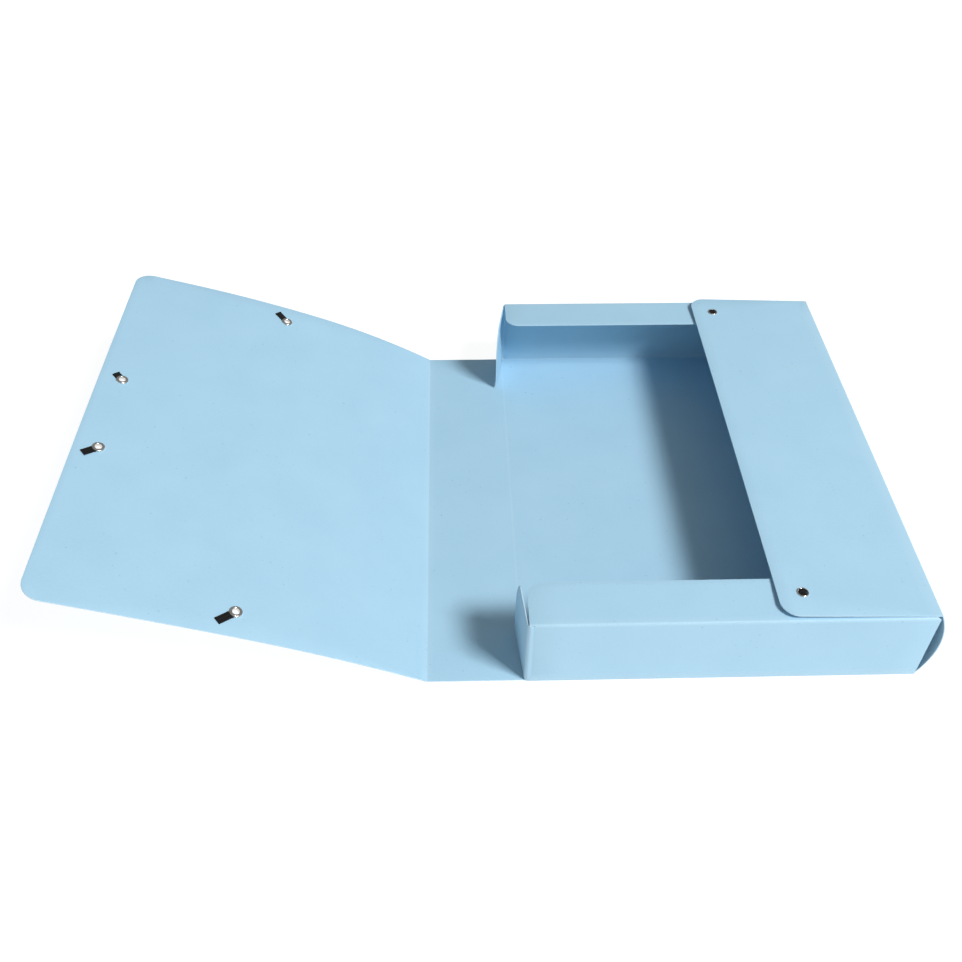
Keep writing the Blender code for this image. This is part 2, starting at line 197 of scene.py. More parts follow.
class Path:
    """A line in the plane across a fold, drawn step by step: its heading is 0 along the base,
    and grows as the sheet turns inwards. It keeps (u, x, z, heading) at each sample."""

    def __init__(self, u, x, z, heading=0.0):
        self.samples = [(u, x, z, heading)]

    def advance(self, length, steps, turn):
        """Goes on by this length, with the heading a function of the share of it that is done."""
        u, x, z, _ = self.samples[-1]
        for i in range(steps):
            middle = turn((i + 0.5) / steps)
            x += length / steps * math.cos(middle)
            z += length / steps * math.sin(middle)
            u += length / steps
            self.samples.append((u, x, z, turn((i + 1) / steps)))
        return self

    def straight(self, length, steps):
        heading = self.samples[-1][3]
        return self.advance(length, steps, lambda share: heading)

    def fold(self, heading, radius, steps=6):
        """Turns to a new heading on this radius."""
        old = self.samples[-1][3]
        length = radius * abs(heading - old)
        return self.advance(length, steps, lambda share: old + (heading - old) * share)

    @property
    def end(self):
        return self.samples[-1][0]

    def stations(self, start, stop):
        """The samples' distances strictly between two distances."""
        return [s[0] for s in self.samples if start + 1e-6 < s[0] < stop - 1e-6]

    def at(self, u, height=0.0):
        """The point at this distance and height off the inner face, as (x, z), and the heading."""
        samples = self.samples
        k = 0
        while k < len(samples) - 2 and u > samples[k + 1][0]:
            k += 1
        (u0, x0, z0, h0), (u1, x1, z1, h1) = samples[k], samples[k + 1]
        share = (u - u0) / (u1 - u0)
        heading = h0 + (h1 - h0) * min(max(share, 0), 1)
        x = x0 + (x1 - x0) * share - height * math.sin(heading)
        z = z0 + (z1 - z0) * share + height * math.cos(heading)
        return x, z, heading


def corner_cut(angle, radius):
    """How far before a corner a fold of this radius begins."""
    return radius * math.tan(abs(angle) / 2)


class Side:
    """One side of the sheet: where its path lies in the object's frame, and where its folds are."""

    def __init__(self, origin, outward, across, path, folds=(), up=Z_AXIS, warp=None):
        self.origin, self.outward, self.across, self.up = origin, outward, across, up
        self.path, self.folds, self.warp = path, folds, warp

    def point(self, u, v, height=0.0):
        height += self.wave(u, v)
        x, z, _ = self.path.at(u, height)
        place = self.origin + self.outward * x + self.up * z + self.across * v
        return place + self.warp(u, v) if self.warp else place

    def wave(self, u, v):
        """The gentle unevenness of the card, which dies away towards every fold."""
        nearest = min((abs(u - fold) for fold in self.folds), default=0.0)
        fade = min(nearest / WAVE_FADE, 1.0)
        where = Vector((u / WAVE_LENGTH, v / WAVE_LENGTH, self.origin.x * 10 + self.origin.y * 7))
        return WAVE_HEIGHT * fade * fade * noise.noise(where)

    def place(self, u, v, height=0.0):
        """A frame on the sheet: X along u, Z out of the inner face."""
        step = 1.5 * MM
        along = (self.point(u + step, v) - self.point(u - step, v)).normalized()
        across = (self.point(u, v + step) - self.point(u, v - step)).normalized()
        inward = along.cross(across).normalized()
        if inward.dot(self.point(u, v, step) - self.point(u, v)) < 0:
            inward = -inward
        spin = Matrix((along, inward.cross(along), inward)).transposed().to_4x4()
        return Matrix.Translation(self.point(u, v, height)) @ spin


def spine_side():
    path = Path(-CREASE, -CREASE, 0).straight(CREASE * 2, 8)
    first = COVER_SLOPE_END + COVER_SLOPE_EXTRA
    cut = corner_cut(first, COVER_FOLD_RADIUS)
    path.straight(SPINE_WIDTH - CREASE - cut, 8).fold(first, COVER_FOLD_RADIUS, 8)
    rest = COVER_LENGTH - cut
    path.advance(
        rest, 60, lambda share: COVER_SLOPE_END + COVER_SLOPE_EXTRA * (1 - share) ** COVER_SLOPE_POWER
    )
    folds = (0.0, SPINE_WIDTH)
    return Side(Vector((-BASE_WIDTH / 2, 0, CARD)), -X_AXIS, Y_AXIS, path, folds, warp=cover_twist)


def cover_twist(u, v):
    """The cover bows a little more towards its head end."""
    share = max(u - SPINE_WIDTH, 0.0) / COVER_LENGTH
    head = (v / COVER_HALF_DEPTH + 1) / 2
    rise = COVER_HEAD_RISE * math.sin(math.pi * min(share, 1.0) ** 0.8) * head * head
    return Vector((COVER_HEAD_REACH * share * head * head, 0, rise))


def fore_side():
    """The fore-edge wall with its bow, and its flap."""
    bow = 4 * FORE_WALL_BULGE / FORE_WALL_HEIGHT
    low, high = math.pi / 2 - math.atan(bow), math.pi / 2 + math.atan(bow)
    cut = corner_cut(low, FOLD_RADIUS)
    path = Path(-CREASE, -CREASE, 0).straight(CREASE - cut, 3).fold(low, FOLD_RADIUS)
    arc = 2 * math.hypot(FORE_WALL_HEIGHT / 2, FORE_WALL_BULGE) * BOW_STRETCH
    lid = math.pi - FORE_FLAP_LIFT
    top_cut = corner_cut(lid - high, FOLD_RADIUS)
    path.advance(
        arc - cut - top_cut,
        24,
        lambda share: math.pi / 2 - math.atan(bow * (1 - 2 * share)),
    )
    top = path.end
    path.fold(lid, FOLD_RADIUS).straight(FORE_FLAP_DEPTH - top_cut, 12)
    folds = (0.0, top + FOLD_RADIUS / 2)
    return Side(Vector((BASE_WIDTH / 2, 0, CARD)), X_AXIS, Y_AXIS, path, folds), top


def end_side(side):
    """An end wall and its flap."""
    cut = corner_cut(math.pi / 2, FOLD_RADIUS)
    path = Path(-CREASE, -CREASE, 0).straight(CREASE - cut, 3).fold(math.pi / 2, FOLD_RADIUS)
    path.straight(END_WALL_HEIGHT - 2 * cut, 8)
    top = path.end
    path.fold(math.pi - END_FLAP_LIFT, FOLD_RADIUS).straight(END_FLAP_DEPTH - cut, 8)
    origin = Vector((0, side * BASE_DEPTH / 2, CARD))
    return Side(origin, side * Y_AXIS, X_AXIS, path, (0.0, top + FOLD_RADIUS / 2)), top


def ear_side(side, lean):
    """The ear's path in plan, from the end wall round to its free edge; v is the height."""
    turn = math.pi / 2 - lean
    cut = corner_cut(turn, EAR_FOLD_RADIUS)
    path = Path(-2 * CREASE, -2 * CREASE, 0).straight(2 * CREASE - cut, 3)
    path.fold(turn, EAR_FOLD_RADIUS, 8).straight(EAR_LENGTH - cut, 14)
    origin = Vector((-BASE_WIDTH / 2 + EAR_INSET, side * BASE_DEPTH / 2, CARD))
    return Side(origin, -X_AXIS, Z_AXIS, path, (0.0,), up=-side * Y_AXIS)


# ---------------------------------------------------------------- meshes


def arc(centre, radius, start, end, steps=CORNER_STEPS):
    """Points on an arc, with angles in degrees."""
    points = []
    for i in range(steps + 1):
        angle = math.radians(start + (end - start) * i / steps)
        points.append((centre[0] + radius * math.cos(angle), centre[1] + radius * math.sin(angle)))
    return points


def flap_outline(start, end, half, radius):
    """A rectangle with its two free corners rounded."""
    outer = arc((end - radius, -half + radius), radius, -90, 0)
    outer += arc((end - radius, half - radius), radius, 0, 90)
    return [(start, -half), *outer, (start, half)]


def rectangle(start, end, low, high):
    return [(start, low), (end, low), (end, high), (start, high)]


def slab(outline):
    """A flat sheet with this outline, as thick as the card, with its inner face at height 0."""
    bm = bmesh.new()
    face = bm.faces.new([bm.verts.new((u, v, -CARD)) for u, v in outline])
    raised = bmesh.ops.extrude_face_region(bm, geom=[face])["geom"]
    moved = [v for v in raised if isinstance(v, bmesh.types.BMVert)]
    bmesh.ops.translate(bm, verts=moved, vec=(0, 0, CARD))
    return bm


def flat_card(outline, raw_edges):
    """A slab whose cut edges are a little rounded, apart from the raw ones, given by their u,
    which meet the next panel of the sheet."""
    bm = slab(outline)
    rims = []
    for edge in bm.edges:
        one, other = edge.verts
        level = abs(one.co.z - other.co.z) < 1e-7
        raw = any(abs(one.co.x - u) < 1e-6 and abs(other.co.x - u) < 1e-6 for u in raw_edges)
        if level and not raw:
            rims.append(edge)
    bmesh.ops.bevel(bm, geom=rims, offset=EDGE_ROUND, segments=2, affect="EDGES", profile=0.6)
    bmesh.ops.recalc_face_normals(bm, faces=bm.faces)
    return bm


def punch(bm, cutters):
    """The sheet with each cutter's shape taken out of it."""
    mesh = bpy.data.meshes.new("sheet")
    bm.to_mesh(mesh)
    bm.free()
    obj = bpy.data.objects.new("sheet", mesh)
    bpy.context.scene.collection.objects.link(obj)
    for cutter in cutters:
        modifier = obj.modifiers.new("hole", "BOOLEAN")
        modifier.object = cutter
        modifier.solver = "EXACT"
    bpy.context.view_layer.update()
    cut = obj.evaluated_get(bpy.context.evaluated_depsgraph_get())
    punched = bmesh.new()
    punched.from_mesh(cut.to_mesh())
    cut.to_mesh_clear()
    for used in (obj, *cutters):
        bpy.data.objects.remove(used, do_unlink=True)
    return punched


def hole_cutter(u, v, bore):
    bm = bmesh.new()
    radius = bore + BARREL_WALL + HOLE_CLEARANCE
    sizes = {"radius1": radius, "radius2": radius, "depth": CUTTER_DEPTH}
    bmesh.ops.create_cone(bm, cap_ends=True, segments=40, **sizes)
    bmesh.ops.translate(bm, verts=bm.verts, vec=(u, v, 0))
    return loose_object(bm, "hole_cutter")


def slit_cutter(place):
    bm = bmesh.new()
    bmesh.ops.create_cube(bm, size=1)
    size = (STRAP_WIDTH + SLIT_CLEARANCE, STRAP_THICK + SLIT_CLEARANCE, CUTTER_DEPTH)
    bmesh.ops.scale(bm, verts=bm.verts, vec=size)
    bmesh.ops.translate(bm, verts=bm.verts, vec=(0, STRAP_OFFSET + STRAP_THICK / 2, 0))
    bm.transform(place)
    return loose_object(bm, "slit_cutter")


def loose_object(bm, name):
    mesh = bpy.data.meshes.new(name)
    bm.to_mesh(mesh)
    bm.free()
    obj = bpy.data.objects.new(name, mesh)
    bpy.context.scene.collection.objects.link(obj)
    return obj


def slice_sheet(bm, axis, places):
    """Cuts the sheet across at these places, so that it can bend there."""
    normal = Vector((1, 0, 0)) if axis == 0 else Vector((0, 1, 0))
    for at in places:
        everything = bm.verts[:] + bm.edges[:] + bm.faces[:]
        bmesh.ops.bisect_plane(bm, geom=everything, dist=1e-7, plane_co=normal * at, plane_no=normal)


def spread(low, high, step):
    """Even places strictly between two values, no further apart than the step."""
    count = max(1, math.ceil((high - low) / step))
    return [low + (high - low) * i / count for i in range(1, count)]


def lay(bm, side, name, finish):
    """Lays a flat sheet along its side's path. Its UV map keeps the flat sheet's place, in units of
    100 mm. The attribute cut_edge is 1 on the card's edges, and fold_line is 1 along its folds."""
    uv = bm.loops.layers.uv.new("flat")
    for face in bm.faces:
        for loop in face.loops:
            loop[uv].uv = (loop.vert.co.x * 10, loop.vert.co.y * 10)
    cut_edge = bm.verts.layers.float.new("cut_edge")
    fold_line = bm.verts.layers.float.new("fold_line")
    for vert in bm.verts:
        u, v, height = vert.co
        vert[cut_edge] = 1.0 if -CARD + 1e-6 < height < -1e-6 else 0.0
        nearest = min((abs(u - fold) for fold in side.folds), default=1.0)
        vert[fold_line] = math.exp(-((nearest / FOLD_LINE) ** 2))
        vert.co = side.point(u, v, height)
    bmesh.ops.recalc_face_normals(bm, faces=bm.faces)
    obj = loose_object(bm, name)
    obj.data.shade_smooth()
    obj.data.set_sharp_from_angle(angle=math.radians(38))
    obj.data.materials.append(finish)
    return obj


def bend_with(obj, middle, direction):
    """Bakes the board's transform into its mesh."""
    direction = direction.normalized()
    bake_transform(obj)


def finish_board(node):
    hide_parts(node)


# ---------------------------------------------------------------- boards


def build_base(card):
    """The base: its edges meet the four creases."""
    half_x, half_y = BASE_WIDTH / 2 - CREASE, BASE_DEPTH / 2 - CREASE
    bm = slab(rectangle(-half_x, half_x, -half_y, half_y))
    slice_sheet(bm, 0, spread(-half_x, half_x, BROAD_SLICE))
    slice_sheet(bm, 1, spread(-half_y, half_y, BROAD_SLICE))
    path = Path(-1, -1, 0).straight(2, 1)
    flat = Side(Vector((0, 0, CARD)), X_AXIS, Y_AXIS, path, (-BASE_WIDTH / 2, BASE_WIDTH / 2))
    base = lay(bm, flat, "base_board", card)
    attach(base, "base")
    finish_board("base_panel")


def build_spine_and_cover(card):
    side = spine_side()
    half = BASE_DEPTH / 2 - SPINE_INSET
    start, seam = -CREASE, SPINE_WIDTH - 3 * CREASE
    bm = flat_card(rectangle(start, seam, -half, half), (start, seam))
    slice_sheet(bm, 0, side.path.stations(start, seam))
    slice_sheet(bm, 1, spread(-half, half, BROAD_SLICE))
    spine = lay(bm, side, "spine_board", card)
    bend_with(spine, side.origin, -X_AXIS)
    finish_board("spine_panel")

    end = SPINE_WIDTH + COVER_LENGTH
    outline = [(seam, -half), (SPINE_WIDTH + CREASE, -half)]
    outline += flap_outline(SPINE_WIDTH + 2 * CREASE, end, COVER_HALF_DEPTH, COVER_CORNER)
    outline += [(SPINE_WIDTH + CREASE, half), (seam, half)]
    cutters = []
    for name in ("tail", "head"):
        for strap_end in strap_ends(name):
            cutters.append(hole_cutter(strap_end.at.x, strap_end.at.y, COVER_BORE))
            cutters.append(slit_cutter(strap_end.turn()))
    bm = punch(flat_card(outline, (seam,)), cutters)
    slice_sheet(bm, 0, side.path.stations(seam, end))
    slice_sheet(bm, 1, spread(-half, half, COVER_SLICE))
    cover = lay(bm, side, "cover_board", card)
    crease = side.point(SPINE_WIDTH, 0)
    direction = -X_AXIS * math.cos(COVER_CREASE_SLOPE) + Z_AXIS * math.sin(COVER_CREASE_SLOPE)
    bend_with(cover, crease, direction)
    finish_board("cover_panel")
    return side


def build_end_wall(end, side_sign, card):
    """An end wall from its crease at the base to just under its top crease, and its flap. The
    wall's foot and the flap's lower edge pass under and over the ear, up to the box's corner."""
    side, top = end_side(side_sign)
    seam = top - CREASE
    low, high = -BASE_WIDTH / 2 + EAR_INSET + 2 * CREASE, BASE_WIDTH / 2 - END_WALL_FORE_GAP
    corner = -BASE_WIDTH / 2 + CREASE
    foot = EAR_LOW_EDGE - SHEET_GAP
    outline = [(-CREASE, corner), (foot, corner), (foot, low)]
    outline += [(seam, low), (seam, high), (-CREASE, high)]
    bm = flat_card(outline, (-CREASE, seam))
    slice_sheet(bm, 0, side.path.stations(-CREASE, seam))
    slice_sheet(bm, 1, spread(low, high, SLICE))
    wall = lay(bm, side, end + "_wall_board", card)
    bend_with(wall, side.origin, side.outward + Z_AXIS)
    finish_board(end + "_wall")

    depth, radius = side.path.end, END_FLAP_CORNER
    spine_end = -BASE_WIDTH / 2 + EAR_INSET + END_FLAP_EAR_GAP
    fore_end = BASE_WIDTH / 2 - END_FLAP_FORE_GAP
    over_ear = END_WALL_HEIGHT - EAR_TOP_GAP + SHEET_GAP
    outline = [(seam, low), (over_ear, low), (over_ear, spine_end), (top + CREASE, spine_end)]
    outline += arc((depth - radius, spine_end + radius), radius, -90, 0)
    outline.append((depth, fore_end - END_FLAP_MITRE * END_FLAP_DEPTH))
    outline += [(top + CREASE, fore_end - END_FLAP_MITRE * CREASE), (top, high), (seam, high)]
    eyelet_u = top + FOLD_RADIUS / 2 + (BASE_DEPTH / 2 - FLAP_EYELET_FROM_MIDDLE)
    eyelet_v = BASE_WIDTH / 2 - FLAP_EYELET_FROM_CREASE * math.cos(FORE_FLAP_LIFT)
    bm = punch(flat_card(outline, (seam,)), [hole_cutter(eyelet_u, eyelet_v, FLAP_BORE)])
    slice_sheet(bm, 0, side.path.stations(seam, depth))
    slice_sheet(bm, 1, spread(spine_end, high, SLICE))
    flap = lay(bm, side, end + "_flap_board", card)
    crease = side.origin + Z_AXIS * END_WALL_HEIGHT
    bend_with(flap, crease, Z_AXIS - side.outward)
    finish_board(end + "_flap")
    return side, eyelet_u, eyelet_v


def build_ear(end, side_sign, card):
    """The ear, with the soft fold that joins it to the end wall."""
    side = ear_side(side_sign, EAR_LEANS[end])
    top = END_WALL_HEIGHT - EAR_TOP_GAP
    start = -2 * CREASE
    outline = [(start, EAR_LOW_EDGE), (0, EAR_LOW_EDGE)]
    outline.append((EAR_LENGTH, EAR_LOW_EDGE + EAR_EDGE_RISE))
    for i in range(CORNER_STEPS + 1):
        angle = math.radians(90 * i / CORNER_STEPS)
        u = EAR_TOP_LENGTH + (EAR_LENGTH - EAR_TOP_LENGTH) * math.cos(angle)
        outline.append((u, EAR_CORNER_HEIGHT + (top - EAR_CORNER_HEIGHT) * math.sin(angle)))
    outline.append((start, top))
    bm = flat_card(outline, (start,))
    slice_sheet(bm, 0, side.path.stations(start, EAR_LENGTH))
    slice_sheet(bm, 1, spread(EAR_LOW_EDGE, top, EAR_SLICE))
    ear = lay(bm, side, end + "_ear_board", card)
    direction = -X_AXIS - side_sign * Y_AXIS
    bend_with(ear, side.origin, direction)
    finish_board(end + "_ear")


def build_fore_edge(card):
    """The bowed fore-edge wall to just under its top crease, and its flap."""
    side, top = fore_side()
    along, up = FORE_CREASE_WAY
    seam = top - CREASE
    half = FORE_WALL_HALF_DEPTH
    bm = flat_card(rectangle(-CREASE, seam, -half, half), (-CREASE, seam))
    slice_sheet(bm, 0, side.path.stations(-CREASE, seam))
    slice_sheet(bm, 1, spread(-half, half, SLICE))
    wall = lay(bm, side, "fore_edge_wall_board", card)
    bend_with(wall, side.origin, X_AXIS * along + Z_AXIS * up)
    finish_board("fore_edge_wall")

    end = side.path.end
    outline = [(seam, -half), (top, -half)]
    outline += flap_outline(top + 2 * CREASE, end, FORE_FLAP_HALF_DEPTH, FORE_FLAP_CORNER)
    outline += [(top, half), (seam, half)]
    eyelet_u = top + FOLD_RADIUS / 2 + FLAP_EYELET_FROM_CREASE
    cutters = [hole_cutter(eyelet_u, at * FLAP_EYELET_FROM_MIDDLE, FLAP_BORE) for at in (-1, 1)]
    bm = punch(flat_card(outline, (seam,)), cutters)
    slice_sheet(bm, 0, side.path.stations(seam, end))
    slice_sheet(bm, 1, spread(-half, half, SLICE))
    flap = lay(bm, side, "fore_edge_flap_board", card)
    crease = side.origin + Z_AXIS * FORE_WALL_HEIGHT
    bend_with(flap, crease, Z_AXIS * up - X_AXIS * along)
    finish_board("fore_edge_flap")
    return side, eyelet_u


# ---------------------------------------------------------------- fittings


class StrapEnd:
    """One end of a corner strap on the flat cover: its eyelet's centre, and the directions along
    the strap and towards the corner."""

    def __init__(self, name, at, along, to_corner):
        self.name, self.at, self.along, self.to_corner = name, at, along, to_corner

    def turn(self):
        up = self.along.cross(self.to_corner)
        spin = Matrix((self.along, self.to_corner, up)).transposed().to_4x4()
        return Matrix.Translation(self.at) @ spin

    def flat(self, x, y):
        return self.at + self.along * x + self.to_corner * y


def strap_ends(end):
    """The two ends of the strap at one corner of the cover."""
    sign = -1 if end == "tail" else 1
    at_end = Vector((SPINE_WIDTH + END_EYELET_FROM_CREASE, sign * END_EYELET_FROM_MIDDLE, 0))
    at_fore = Vector((SPINE_WIDTH + FORE_EYELET_FROM_CREASE, sign * FORE_EYELET_FROM_MIDDLE, 0))
    along = (at_fore - at_end).normalized()
    to_corner = Vector((-along.y, along.x, 0)) * sign
    fore_name = "fore_upper" if end == "head" else "fore_lower"
    return [
        StrapEnd(end, at_end, along, to_corner),
        StrapEnd(fore_name, at_fore, along, to_corner),
    ]


def build_eyelet(name, place, bore, flange, rim, finish, tag=None):
    """A clinched eyelet: a rolled rim that bears on the card, and, on the other face, a roll that
    is split into petals. Its skirt lifts over a tag that leaves in the direction given."""
    width = flange - bore
    barrel = bore + BARREL_WALL
    under = -CARD - PETAL_SEAT
    over_tag = TAG_CARD_GAP + TAG_THICK + TAG_SEAT
    rows = []
    for i in range(EYELET_STEPS):
        angle = math.tau * i / EYELET_STEPS
        seat = EYELET_SEAT
        if tag is not None:
            away = abs((angle - tag + math.pi) % math.tau - math.pi)
            lifted = min(max((LIFT_HALF_ANGLE - away) / LIFT_BLEND_ANGLE, 0.0), 1.0)
            seat += (over_tag - seat) * lifted * lifted * (3 - 2 * lifted)
        petal = abs(math.cos(angle * SPLITS / 2)) ** 0.4
        roll = PETAL_ROLL * (0.35 + 0.65 * petal)
        profile = [
            (bore, rim - 0.42 * MM),
            (bore + 0.05 * width, rim - 0.2 * MM),
            (bore + 0.18 * width, rim - 0.05 * MM),
            (bore + 0.38 * width, rim),
            (bore + 0.6 * width, rim - 0.05 * MM),
            (bore + 0.82 * width, rim - 0.18 * MM),
            (bore + 0.95 * width, rim - 0.34 * MM),
            (flange, max(rim - 0.5 * MM, seat + 0.06 * MM)),
            (flange - 0.04 * MM, seat),
            (flange - 0.3 * MM, seat),
            (barrel + 0.1 * MM, seat),
            (barrel, seat - 0.05 * MM),
            (barrel, under),
            (barrel + roll, under),
            (barrel + roll + 0.05 * MM, under - 0.12 * MM),
            (barrel + 0.6 * roll, under - 0.38 * MM * petal),
            (barrel + 0.2 * roll, under - 0.42 * MM),
            (bore, under - 0.2 * MM),
            (bore - 0.02 * MM, under + 0.5 * MM),
        ]
        rows.append([(r * math.cos(angle), r * math.sin(angle), h) for r, h in profile])
    obj = grid_object(name, rows, True, True, finish)
    obj.data.transform(place)
    return obj


def grid_object(name, rows, round_rows, round_columns, finish, uv_scale=None):
    """A surface through rows of points, closed round in either direction. Where a scale is given,
    its UV map runs along the rows in X and across them in Y."""
    bm = bmesh.new()
    grid = [[bm.verts.new(point) for point in row] for row in rows]
    uv = bm.loops.layers.uv.new("flat")
    row_count, column_count = len(grid), len(grid[0])
    for i in range(row_count if round_rows else row_count - 1):
        for j in range(column_count if round_columns else column_count - 1):
            corners = [(i, j), (i + 1, j), (i + 1, j + 1), (i, j + 1)]
            face = bm.faces.new([grid[a % row_count][b % column_count] for a, b in corners])
            if uv_scale:
                for loop, (a, b) in zip(face.loops, corners):
                    loop[uv].uv = (a * uv_scale[0], b * uv_scale[1])
    if not round_rows:
        bm.faces.new(grid[0])
        bm.faces.new(grid[-1])
    bmesh.ops.recalc_face_normals(bm, faces=bm.faces)
    obj = loose_object(bm, name)
    obj.data.shade_smooth()
    obj.data.set_sharp_from_angle(angle=math.radians(50))
    obj.data.materials.append(finish)
    return obj


def ribbon(name, middle, wide, thick, width, thickness, finish):
    """A flat woven ribbon: at each point of its middle line, the directions of its width and
    thickness, with soft edges. All the points are in the object's frame."""
    rows = []
    around = 20
    for centre, across, out in zip(middle, wide, thick):
        row = []
        for j in range(around):
            angle = math.tau * j / around
            c, s = math.cos(angle), math.sin(angle)
            x = math.copysign(abs(c) ** 0.35, c) * width / 2
            y = math.copysign(abs(s) ** 0.6, s) * thickness / 2
            row.append(centre + across * x + out * y)
        rows.append(row)
    length = sum((b - a).length for a, b in zip(middle, middle[1:]))
    step = length / (len(rows) - 1) * 1000
    return grid_object(name, rows, False, True, finish, (step, 1.0))


def mapped_ribbon(name, side, route, across, thickness, finish):
    """A ribbon laid by a route of flat points and heights, with its width along a flat direction."""
    middle = [side.point(at.x, at.y, height) for at, height in route]
    wide, thick = [], []
    for i, (at, height) in enumerate(route):
        aside = at + across * MM
        wide.append((side.point(aside.x, aside.y, height) - middle[i]).normalized())
        ahead = middle[min(i + 1, len(middle) - 1)] - middle[max(i - 1, 0)]
        thick.append(ahead.cross(wide[i]).normalized())
    return ribbon(name, middle, wide, thick, STRAP_WIDTH, thickness, finish)


def tag_route(strap_end):
    """From the run on the outer face, up through the slit, and out over the inner face."""
    out = -CARD - STRAP_CARD_GAP - STRAP_THICK - TAG_THICK / 2 + 0.2 * MM
    tag_height = TAG_CARD_GAP + TAG_THICK / 2
    slit = STRAP_OFFSET + STRAP_THICK / 2
    middle = (out + tag_height) / 2
    tall = (tag_height - out) / 2
    route = [(slit + 4.2 * MM, out), (slit + 2.2 * MM, out), (slit + 1.0 * MM, out)]
    for i in range(9):
        angle = math.radians(-90 + 180 * i / 8)
        route.append((slit + 0.35 * MM - 0.45 * MM * math.cos(angle), middle + tall * math.sin(angle)))
    length = TAG_LENGTHS[strap_end.name]
    for share in (0.15, 0.3, 0.5, 0.7, 0.85, 1.0):
        lift = 0.25 * MM * share * share
        route.append((slit + 0.4 * MM + (length - 0.9 * MM) * share, tag_height + lift))
    return [(strap_end.flat(0, y), height) for y, height in route]


def build_corner_strap(end, side, elastic):
    """The strap's run across the corner on the cover's outer face, and the two tags of its ends."""
    first, last = strap_ends(end)
    run_height = -CARD - STRAP_CARD_GAP - STRAP_THICK / 2
    middle_y = STRAP_OFFSET + STRAP_WIDTH / 2
    reach = (last.at - first.at).length
    route = []
    for i in range(49):
        x = -STRAP_WIDTH / 2 + (reach + STRAP_WIDTH) * i / 48
        route.append((first.flat(x, middle_y), run_height))
    pieces = [
        mapped_ribbon("corner_elastic_" + end, side, route, first.to_corner, STRAP_THICK, elastic)
    ]
    for strap_end in (first, last):
        name = "tag_" + strap_end.name
        pieces.append(
            mapped_ribbon(name, side, tag_route(strap_end), strap_end.along, TAG_THICK, elastic)
        )
    strap = joined(pieces)
    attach(strap, "cover")
    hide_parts("corner_strap_" + end)


def joined(pieces):
    """One object of several, which keeps the first one's name."""
    first = pieces[0]
    bm = bmesh.new()
    for piece in pieces:
        bm.from_mesh(piece.data)
    bm.to_mesh(first.data)
    bm.free()
    for piece in pieces[1:]:
        bpy.data.objects.remove(piece, do_unlink=True)
    return first


def build_cover_fittings(side, metal, elastic):
    for end in ("tail", "head"):
        for strap_end in strap_ends(end):
            place = side.place(strap_end.at.x, strap_end.at.y)
            corner_way = strap_end.flat(0, 2 * MM)
            local = place.inverted() @ side.point(corner_way.x, corner_way.y)
            tag = math.atan2(local.y, local.x)
            name = "cover_ring_" + strap_end.name
            ring = build_eyelet(name, place, COVER_BORE, COVER_FLANGE, COVER_RIM, metal, tag)
            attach(ring, "cover")
            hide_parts("cover_eyelet_" + strap_end.name)
        build_corner_strap(end, side, elastic)


def build_tie(end, place, elastic):
    """The knotted end of the round elastic that stands in the flap's eyelet."""
    profile = [
        (0.02 * MM, 0.78 * MM),
        (0.7 * MM, 0.76 * MM),
        (1.5 * MM, 0.62 * MM),
        (2.2 * MM, 0.36 * MM),
        (TIE_BUTTON - 0.1 * MM, 0.0),
        (TIE_BUTTON, -0.5 * MM),
        (TIE_BUTTON - 0.3 * MM, -1.1 * MM),
        (TIE_CORD, -1.35 * MM),
        (TIE_CORD, -2.2 * MM),
        (TIE_CORD, -3.0 * MM),
        (TIE_CORD - 0.2 * MM, -3.55 * MM),
        (0.02 * MM, -3.6 * MM),
    ]
    rows = []
    for i in range(TIE_STEPS):
        angle = math.tau * i / TIE_STEPS
        row = []
        for radius, height in profile:
            where = Vector((math.cos(angle) * 1.4, math.sin(angle) * 1.4, height * 700))
            radius *= 1 - 0.05 * (0.5 + 0.5 * noise.noise(where))
            height += 0.09 * MM * noise.noise(where * 1.7) * min(radius / (0.7 * MM), 1.0)
            row.append((radius * math.cos(angle), radius * math.sin(angle), height))
        rows.append(row)
    knot = grid_object("tie_knot_" + end, rows, True, False, elastic, (0.35, 0.6))
    knot.data.transform(place)
    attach(knot, "fore_flap")
    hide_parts("elastic_tie_" + end)


def build_flap_fittings(end, sign, fore, fore_u, wall, wall_u, wall_v, metal, elastic):
    """The fore-edge flap's eyelet at one end, the end flap's under it, and the tie in them."""
    over = fore.place(fore_u, sign * FLAP_EYELET_FROM_MIDDLE, -CARD)
    over = over @ Matrix.Rotation(math.pi, 4, "X")
    ring = build_eyelet("flap_ring_" + end, over, FLAP_BORE, FLAP_FLANGE, FLAP_RIM, metal)
    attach(ring, "fore_flap")
    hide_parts("flap_eyelet_" + end)
    under = wall.place(wall_u, wall_v)
    ring = build_eyelet("end_flap_ring_" + end, under, FLAP_BORE, FLAP_FLANGE, FLAP_RIM, metal)
    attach(ring, end + "_top")
    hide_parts("end_flap_eyelet_" + end)
    build_tie(end, over, elastic)


# ---------------------------------------------------------------- materials


